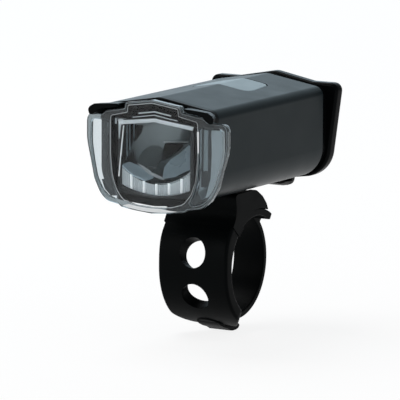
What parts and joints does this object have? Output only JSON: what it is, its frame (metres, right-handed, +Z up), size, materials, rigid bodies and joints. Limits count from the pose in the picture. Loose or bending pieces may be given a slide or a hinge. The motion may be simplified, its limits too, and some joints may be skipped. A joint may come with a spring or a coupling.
{
  "type": "bicycle headlight",
  "caption": "Rechargeable bicycle headlight with a winged clear lens, gabled housing, roof button, rear port cover and a rubber strap that hooks round the handlebar.",
  "frame": {"origin": "centre of the handlebar under the middle of the strap", "axes": "+X along the handlebar, the lens faces -Y, +Z up"},
  "size_m": [0.0406, 0.0651, 0.0636],
  "materials": {
    "housing": "smooth dark grey with a satin metallic sheen",
    "black_gloss": "gloss black",
    "clear_lens": "clear polycarbonate",
    "seal_rubber": "matte black silicone",
    "reflector": "metallised plastic",
    "emitter": "phosphor",
    "metal_board": "bare aluminium",
    "circuit_board": "green solder mask",
    "component_black": "moulded black",
    "plunger": "natural moulded plastic",
    "steel": "plain steel",
    "cell_foil": "satin foil pouch",
    "inner_plastic": "moulded dark grey",
    "lead_red": "insulated wire",
    "lead_white": "insulated wire",
    "button_grey": "pale grey satin",
    "cover_rubber": "smooth black rubber",
    "mount_rubber": "matte black rubber with a faint sheen",
    "brass": "turned brass"
  },
  "bodies": {
    "mount": {"saddle": "mount_rubber", "liner_pad": "mount_rubber", "front_strap": "mount_rubber", "hook_strap": "mount_rubber"},
    "head": {"housing_shell": "housing", "front_bezel": "black_gloss", "lens": "clear_lens", "front_gasket": "seal_rubber", "reflector": "reflector", "led_emitter": "emitter", "led_board": "metal_board", "heat_sink": "metal_board", "main_board": "circuit_board", "driver_inductor": "component_black", "charge_chip": "component_black", "tact_switch": "component_black", "port_board": "circuit_board", "usb_socket": "steel", "battery_cell": "cell_foil", "chassis": "inner_plastic", "battery_leads": "lead_red", "led_leads": "lead_white", "button_seal": "seal_rubber", "rear_gasket": "seal_rubber", "rear_cap": "black_gloss", "rear_screws": "steel", "pivot_screw": "steel", "pivot_insert": "brass", "friction_washer": "plunger"},
    "button": {"power_button": "button_grey", "switch_plunger": "plunger"},
    "cover": {"port_cover": "cover_rubber"}
  },
  "joints": [
    {"name": "head_swivel", "type": "hinge", "parent": "mount", "child": "head", "pos_m": [0, -0.005, 0.0192], "axis": [0, 0, 1], "range_deg": [-15, 15]},
    {"name": "button_press", "type": "slide", "parent": "head", "child": "button", "axis": [0, 0, -1], "range_m": [0, 0.0004], "stiffness_N_per_m": 1500},
    {"name": "cover_hinge", "type": "hinge", "parent": "head", "child": "cover", "pos_m": [0, 0.02765, 0.031], "axis": [1, 0, 0], "range_deg": [0, 95], "stiffness_Nm_per_rad": 0.0005}
  ]
}
